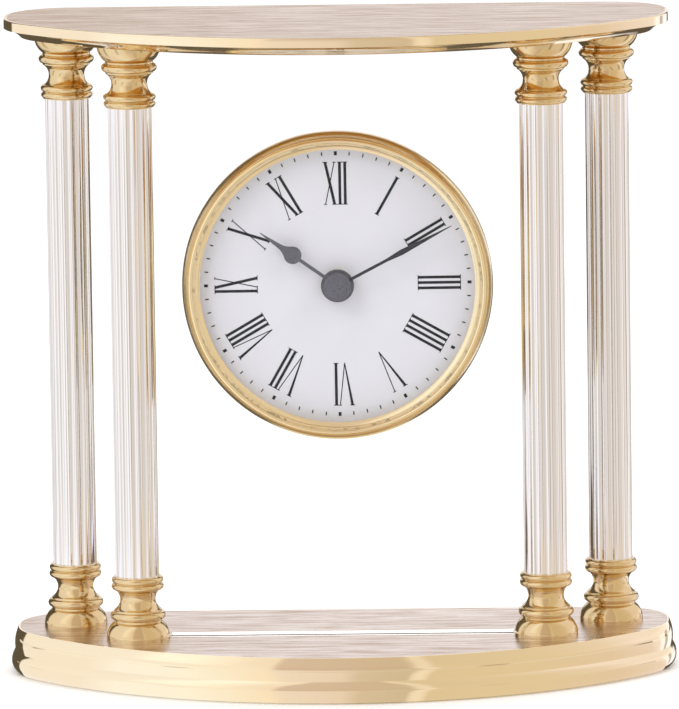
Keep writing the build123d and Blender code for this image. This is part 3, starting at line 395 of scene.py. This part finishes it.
def smoothed(mesh, edge):
    """Merges points that meet, then shades the mesh smooth up to an edge of that many degrees."""
    shell = bmesh.new()
    shell.from_mesh(mesh)
    bmesh.ops.remove_doubles(shell, verts=shell.verts, dist=SAME_POINT)
    shell.to_mesh(mesh)
    shell.free()
    mesh.shade_smooth()
    mesh.set_sharp_from_angle(angle=np.radians(edge))


def turned(name, section, turn, place, finish, sides=96, edge=35):
    """Revolves a closed (radius, height) section: x = r cos a, y = r sin a, z = h, then turn @ point +
    place. The section is in millimetres, the place in metres. Points on the axis merge, so poles close."""
    radius, height = np.array(section).T
    angle = np.linspace(0, 2 * np.pi, sides, endpoint=False)
    circles = radius[:, None, None] * np.stack([np.cos(angle), np.sin(angle), 0 * angle], -1)
    circles[..., 2] += height[:, None]
    points = circles.reshape(-1, 3) @ np.array(turn).T * MM + np.array(place)
    row, column = np.mgrid[:len(radius), :sides]
    next_row, next_column = (row + 1) % len(radius), (column + 1) % sides
    corners = ((row, column), (row, next_column), (next_row, next_column), (next_row, column))
    faces = np.stack([r * sides + c for r, c in corners], -1).reshape(-1, 4)
    mesh = bpy.data.meshes.new(name)
    mesh.from_pydata(points.tolist(), [], faces.tolist())
    smoothed(mesh, edge)
    return shown(name, mesh, finish)


def dress(piece, body, slot, *nodes):
    """The piece moves with a body and stands for any CAD nodes named, hiding them. The slot is not used.
    """
    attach(piece, body)
    if nodes:
        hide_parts(*nodes)


CAP_HEIGHT = 20.5
CAP_CORE = 7.7
CAP_HOLE = 2.05
CAP_ROWS = 165
SPIGOT = 5.15, 5.0
# The waist and each moulding are circles: the radius reached, the rounding, and the height of the middle.
WAIST = 5.75, 3.95, 12.85
MOULDINGS = ((10.3, 6.45, 0.4), (8.95, 1.4, 7.6), (8.45, 1.1, 17.15), (8.35, 1.0, 19.3))
STANDING = ((1, 0, 0), (0, 1, 0), (0, 0, 1))
HANGING = ((1, 0, 0), (0, -1, 0), (0, 0, -1))


def swell(height, rounding, middle):
    """How far a circle of that rounding reaches at each height, from its centre: sqrt(r*r - h*h), or 0."""
    return np.sqrt(np.maximum(rounding**2 - (height - middle) ** 2, 0))


height = np.linspace(0, CAP_HEIGHT, CAP_ROWS)
least, rounding, middle = WAIST
reach = np.minimum(CAP_CORE, least + rounding - swell(height, rounding, middle))
for furthest, rounding, middle in MOULDINGS:
    out = swell(height, rounding, middle)
    reach = np.where(out > 0, np.maximum(reach, furthest - rounding + out), reach)
spigot_radius, spigot_length = SPIGOT
inside = [(spigot_radius, CAP_HEIGHT), (spigot_radius, CAP_HEIGHT + spigot_length)]
inside += [(CAP_HOLE, CAP_HEIGHT + spigot_length), (CAP_HOLE, 0.0)]
cap_section = [*zip(reach, height), *inside]
for corner in CORNERS:
    for kind, turn in (("foot_", STANDING), ("capital_", HANGING)):
        low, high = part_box(kind + corner)
        seat = ((low[0] + high[0]) / 2, (low[1] + high[1]) / 2, low[2] if turn is STANDING else high[2])
        cap = turned(kind + corner + "_turned", cap_section, turn, seat, cap_brass)
        dress(cap, "case", "polished_brass", kind + corner)

# Glass panel
# A clear sheet with ground edges, which carries the clock in a round hole. It stands in a white plastic
# channel in each plate. The lower channel's lip is given a painted glow, and below the lip the channel is
# painted dark as shade.
GLASS_TINT = (0.93, 0.95, 0.94)
# How much of the glass shows face on, how much more edge on, and how steeply that comes.
FACE_ON = 0.012
EDGE_ON = 0.2
STEEPNESS = 4.0
clear = Finish("clear_glass", GLASS_TINT, 0.02, constants={"Specular IOR Level": 0.8})
grazing = clear.node("ShaderNodeLayerWeight", {"Blend": 0.5}, output="Facing")
clear.feed("Alpha", grazing**STEEPNESS * EDGE_ON + FACE_ON)
clear.on("glass_panel", "crystal")

CHANNEL_WHITE = (0.98, 0.98, 0.97)
CHANNEL_PAINTED_SHADE = (0.16, 0.12, 0.10)
# The lip's painted light starts just below the lower channel's mouth; lower down the plastic is painted in
# shade. A height between the channels parts them, and the upper channel stays white without glow.
LIT_LIP_FOOT = -0.85, -0.75
BETWEEN_CHANNELS = 100.0, 101.0
# Its emission is a painted glow: the plastic is no lamp.
channel = Finish("channel_plastic", CHANNEL_WHITE, 0.5, constants={"Emission Strength": 0.6})
channel.uneven(channel.noise(scale=0.8), smoothest=0.4, dullest=0.6)
height = channel.axis(2)
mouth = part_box("slot_liner_lower")[1][2] / MM
lit_lip = channel.spread(height, *[mouth + foot for foot in LIT_LIP_FOOT])
upper_channel = channel.spread(height, *BETWEEN_CHANNELS)
white = lit_lip.maths("MAXIMUM", upper_channel)
# Painted shade: below the lit lip the lower channel is coloured dark, as the shade deep in the slot.
channel.feed("Base Color", channel.blend(white, CHANNEL_PAINTED_SHADE, CHANNEL_WHITE))
# Painted highlight: the lower channel's lip glows white.
channel.feed("Emission Color", channel.blend(lit_lip - upper_channel, BLACK, CHANNEL_WHITE))
channel.on("slot_liner_lower", "slot_liner_upper")

# Top plate
# The base's brass again, polished on its edge band and in the hollow below it. The flat underside, into
# which the tie rods are screwed, is left dull as cast, and its dark brown is painted shade under the
# plate.
UNDERSIDE_PAINTED_SHADE = (0.76, 0.41, 0.09)
CAST_DULL = 0.4
POLISH_FOOT = 209.05, 209.15
edge = Finish("top_brass", BRASS, MIRROR, metallic=1.0)
polish = edge.spread(edge.axis(2), *POLISH_FOOT)
# Below the polish foot the colour is painted shade: dark brown under the plate.
edge.feed("Base Color", edge.blend(polish, UNDERSIDE_PAINTED_SHADE, BRASS))
edge.feed("Roughness", edge.spread(polish, 0.0, 1.0, bottom=CAST_DULL, top=MIRROR))
rippled(edge)

# The edge band is a little taller than the solid's: heights between the plate's foot and top shift down.
PLATE_FOOT = 209.0
PLATE_TOP = 215.0
BAND_FOOT = 212.4, 211.9
PLATE_EDGE = 25
plate_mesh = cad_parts["top_plate"].data.copy()
points = np.empty(len(plate_mesh.vertices) * 3)
plate_mesh.vertices.foreach_get("co", points)
height = points.reshape(-1, 3)[:, 2]
solid, shifted = [(PLATE_FOOT, foot, PLATE_TOP) for foot in BAND_FOOT]
height[:] = np.interp(height / MM, solid, shifted) * MM
plate_mesh.vertices.foreach_set("co", points)
plate_mesh.materials.clear()
smoothed(plate_mesh, PLATE_EDGE)
dress(shown("top_plate_polished", plate_mesh, edge), "case", "polished_brass", "top_plate")

# Insert clock case
# A turned brass bezel over a black rubber ring, pushed into the panel's hole from the front. A notched
# ring nut behind the panel screws it to a lacquered can.
DIAL_FRONT = -2.4
DIAL_HEIGHT = 130.0
DIAL_SEAT = (0.0, DIAL_FRONT * MM, DIAL_HEIGHT * MM)
FACING = ((1, 0, 0), (0, 0, -1), (0, 1, 0))
BEZEL_BRASS = (0.95, 0.80, 0.51)
BEZEL_SIDES = 192
bezel_brass = Finish("bezel_brass", BEZEL_BRASS, 0.2, metallic=1.0)
bezel_brass.uneven(bezel_brass.noise(scale=0.4), smoothest=0.18, dullest=0.26)
bezel_brass.on("dial_ring")


def arc(start, through, stop, steps=14):
    """Points on the circle through three points, centre c from |start-c| = |through-c| = |stop-c|."""
    start, through, stop = (np.array(p, float) for p in (start, through, stop))
    rows = 2 * np.array([through - start, stop - start])
    centre = np.linalg.solve(rows, [through @ through - start @ start, stop @ stop - start @ start])
    first, middle, last = (np.arctan2(*(p - centre)[::-1]) for p in (start, through, stop))
    middle, last = (first + (a - first + np.pi) % (2 * np.pi) - np.pi for a in (middle, last))
    angles = np.linspace(first, last, steps)
    return (centre + np.hypot(*(start - centre)) * np.stack([np.cos(angles), np.sin(angles)], -1)).tolist()


# From the skirt behind the panel round the outside to the crest, and down inside to the crystal's seat.
bezel_section = [(46.35, -5.0), (47.05, -5.0), (47.05, 0.3), (50.0, 0.3)]
bezel_section += arc((50.0, 1.3), (49.75, 4.9), (48.35, 7.45), steps=24) + [(48.22, 7.2), (48.1, 7.25)]
bezel_section += arc((48.05, 7.5), (47.5, 8.0), (46.7, 7.3))
bezel_section += [(46.7, 5.9)] + arc((46.0, 5.9), (45.2, 5.25), (44.4, 4.9)) + [(44.4, 4.3), (46.35, 4.3)]
bezel = turned("bezel_turned", bezel_section, FACING, DIAL_SEAT, bezel_brass, sides=BEZEL_SIDES)
dress(bezel, "case", "polished_brass", "bezel")

RUBBER_BLACK = (0.02, 0.02, 0.02)
rubber = Finish("black_rubber", RUBBER_BLACK, 0.8)
rubber.bump(rubber.noise(scale=3.0), distance=0.02)
rubber.on("bezel_gasket", "movement_washer")

LACQUER = (0.62, 0.50, 0.30)
lacquer = Finish("can_lacquer", LACQUER, 0.35, metallic=1.0)
lacquer.uneven(lacquer.noise(scale=1.5), smoothest=0.33, dullest=0.38)
lacquer.on("clock_can", "ring_nut")

# Dial
# A white-painted metal disc under the crystal. Its Roman numerals and its minute track are printed on it
# in black.
DIAL_ROLL = -0.27
DIAL_PAINT = (0.62, 0.62, 0.67)
DIAL_SHADES = (0.60, 0.60, 0.65), (0.64, 0.64, 0.69)
paint = Finish("dial_paint", DIAL_PAINT, 0.42)
paint.feed("Base Color", paint.blend(paint.noise(scale=0.06), *DIAL_SHADES))
paint.bump(paint.noise(scale=4.0), distance=0.004)
paint.on("dial")

INK = 0.03
BAR = 0.92
HAIRLINE = 0.32
SERIF = 0.28
SERIF_REACH = 0.35
NUMERAL_FOOT = 25.8
NUMERAL_TOP = 39.75
V_SPREAD = 2.0
X_SPREAD = 1.5
# The letters of each hour from XII on, with their places to the right of its middle and a V's lean.
HOURS = (
    (("X", -1.95), ("I", 1.25), ("I", 2.95)),
    (("I", 0.0),),
    (("I", -0.87), ("I", 0.87)),
    (("I", -1.74), ("I", 0.0), ("I", 1.74)),
    (("I", -2.76), ("I", -0.92), ("I", 0.92), ("I", 2.76)),
    (("V", 0.3, -0.23),),
    (("V", -2.15, 0.4), ("I", 1.05)),
    (("V", -1.95, 0.45), ("I", 1.2), ("I", 2.97)),
    (("V", -2.55, 0.6), ("I", 0.42), ("I", 2.13), ("I", 3.83)),
    (("I", -1.9), ("X", 0.85)),
    (("X", 0.0),),
    (("X", -1.05), ("I", 1.85)),
)


def stroke(foot, top, width):
    """A stroke between a numeral's foot and top, cut off level at both ends."""
    half = np.hypot(1, (top - foot) / (NUMERAL_TOP - NUMERAL_FOOT)) * width / 2
    ends = ((foot - half, NUMERAL_FOOT), (foot + half, NUMERAL_FOOT))
    return [*ends, (top + half, NUMERAL_TOP), (top - half, NUMERAL_TOP)]


def serif(middle, width, edge, inward):
    """A thin level line across one end of a stroke, reaching past it on both sides."""
    half = width / 2 + SERIF_REACH
    low, high = sorted((edge, edge + inward * SERIF))
    return [(middle - half, low), (middle + half, low), (middle + half, high), (middle - half, high)]


def letter(kind, middle, lean=0.0):
    """The quads of one letter, as distances to the right and outward. Only a V leans, by its foot."""
    if kind == "I":
        quads = [stroke(0, 0, BAR), serif(0, BAR, NUMERAL_FOOT, 1), serif(0, BAR, NUMERAL_TOP, -1)]
    elif kind == "X":
        quads = [stroke(X_SPREAD, -X_SPREAD, BAR), stroke(-X_SPREAD, X_SPREAD, HAIRLINE)]
        for side, width in ((1, BAR), (-1, HAIRLINE)):
            quads.append(serif(side * X_SPREAD, width, NUMERAL_FOOT, 1))
            quads.append(serif(-side * X_SPREAD, width, NUMERAL_TOP, -1))
    else:
        outer, inner = -V_SPREAD - BAR / 2, -V_SPREAD + BAR / 2
        thick = [(outer, NUMERAL_TOP), (lean - HAIRLINE / 2, NUMERAL_FOOT)]
        quads = [[*thick, (lean + HAIRLINE / 2, NUMERAL_FOOT), (inner, NUMERAL_TOP)]]
        quads += [stroke(lean, V_SPREAD, HAIRLINE)]
        quads += [serif(-V_SPREAD, BAR, NUMERAL_TOP, -1), serif(V_SPREAD, HAIRLINE, NUMERAL_TOP, -1)]
    return [[(x + middle, y) for x, y in quad] for quad in quads]


def printed(name, quads, turns, finish):
    """Thin ink blocks: each quad, turned clockwise by its own angle, is raised by the ink's thickness."""
    flat = np.array(quads)
    turn = np.radians(np.array(turns) + DIAL_ROLL)[:, None]
    x = flat[..., 0] * np.cos(turn) + flat[..., 1] * np.sin(turn)
    z = flat[..., 1] * np.cos(turn) - flat[..., 0] * np.sin(turn) + DIAL_HEIGHT
    levels = [np.stack([x, np.full_like(x, DIAL_FRONT - rise), z], -1) for rise in (0.0, INK)]
    points = np.concatenate(levels, 1).reshape(-1, 3) * MM
    one = np.array([(4, 5, 6, 7), (3, 2, 1, 0), (0, 1, 5, 4), (1, 2, 6, 5), (2, 3, 7, 6), (3, 0, 4, 7)])
    faces = (np.arange(len(quads))[:, None, None] * 8 + one).reshape(-1, 4)
    mesh = bpy.data.meshes.new(name)
    mesh.from_pydata(points.tolist(), [], faces.tolist())
    return shown(name, mesh, finish)


HOUR_TURN = 30.0
MINUTE_TURN = 6.0
TRACK_RADIUS = 42.5
HOUR_MARK = 0.95, 1.3
MINUTE_MARK = 0.4, 1.2

quads, turns = [], []
for hour, letters in enumerate(HOURS):
    for part in letters:
        drawn = letter(*part)
        quads += drawn
        turns += [HOUR_TURN * hour] * len(drawn)
for minute in range(60):
    width, length = MINUTE_MARK if minute % 5 else HOUR_MARK
    low, high = TRACK_RADIUS - length / 2, TRACK_RADIUS + length / 2
    quads.append([(-width / 2, low), (width / 2, low), (width / 2, high), (-width / 2, high)])
    turns.append(MINUTE_TURN * minute)
INK_BLACK = (0.010, 0.010, 0.013)
ink = Finish("dial_ink", INK_BLACK, 0.6, constants={"Specular IOR Level": 0.1})
ink.uneven(ink.noise(scale=2.0), smoothest=0.5, dullest=0.7)
dress(printed("dial_print", quads, turns, ink), "case", "dial_paint")

# Movement
# A black moulded housing in two halves, clamped to the dial by a threaded brass bushing and its nut. It
# holds nylon wheels, spring contacts and one cell, and a knob at its back sets the hands.
MOULDING_BLACK = (0.022, 0.022, 0.024)
moulding = Finish("black_moulding", MOULDING_BLACK, 0.45)
moulding.bump(moulding.noise(scale=6.0), distance=0.01)
moulding.on("movement_lid", "movement_rear", "set_knob")

MOVEMENT_BRASS = (0.80, 0.62, 0.30)
movement_brass = Finish("movement_brass", MOVEMENT_BRASS, 0.25, metallic=1.0)
movement_brass.uneven(movement_brass.noise(scale=2.0), smoothest=0.2, dullest=0.32)
movement_brass.on("centre_bushing", "bushing_nut", "centre_arbor")

NYLON_WHITE = (0.82, 0.81, 0.77)
nylon = Finish("white_nylon", NYLON_WHITE, 0.4)
nylon.uneven(nylon.noise(scale=2.0), smoothest=0.32, dullest=0.48)
nylon.on("minute_wheel", "hour_wheel", "set_wheel")

NICKEL = (0.75, 0.73, 0.68)
spring = Finish("nickel_spring", NICKEL, 0.22, metallic=1.0)
spring.uneven(spring.noise(scale=2.0), smoothest=0.16, dullest=0.3)
spring.on("contact_positive", "contact_negative")

CELL_DARK = (0.09, 0.10, 0.13)
CELL_BLUE = (0.08, 0.09, 0.12)
CELL_GOLD = (0.62, 0.46, 0.22)
GOLD_START = 12.0, 12.2
jacket = Finish("cell_jacket", CELL_DARK, 0.35)
jacket.feed("Base Color", jacket.blend(jacket.spread(jacket.axis(0), *GOLD_START), CELL_BLUE, CELL_GOLD))
jacket.on("cell")

# Hands
# A spade-shaped hour hand and a slim minute hand, stamped from sheet. Both are pushed on at the middle,
# under a domed cap. The hour hand and the cap are painted blue-grey, and the minute hand nearly black.
HAND_GREY = (0.10, 0.10, 0.125)
hand_paint = Finish("hand_paint", HAND_GREY, 0.3, metallic=0.3)
hand_paint.uneven(hand_paint.noise(scale=1.5), smoothest=0.24, dullest=0.36)
hand_paint.on("hour_hand")

HAND_BLACK = (0.02, 0.02, 0.026)
minute_paint = Finish("minute_hand_paint", HAND_BLACK, 0.35, constants={"Specular IOR Level": 0.25})
minute_paint.uneven(minute_paint.noise(scale=1.5), smoothest=0.24, dullest=0.36)
minute_paint.on("minute_hand")

MINUTE_HAND_FRONT = 5.7
HUB_SIDES = 64
HUB_EDGE = 28
hub_section = [(0.0, 0.0), (4.5, 0.0), *arc((4.5, 0.75), (4.4, 1.05), (4.1, 1.22))]
hub_section += [(3.95, 1.15), (3.8, 1.22), *arc((3.7, 1.27), (1.9, 1.5), (0.0, 1.58))]
hub_place = (0.0, (DIAL_FRONT - MINUTE_HAND_FRONT) * MM, DIAL_HEIGHT * MM)
hub = turned("hand_cap_turned", hub_section, FACING, hub_place, hand_paint, sides=HUB_SIDES, edge=HUB_EDGE)
dress(hub, "minute_assembly", "hand_paint", "hand_cap")
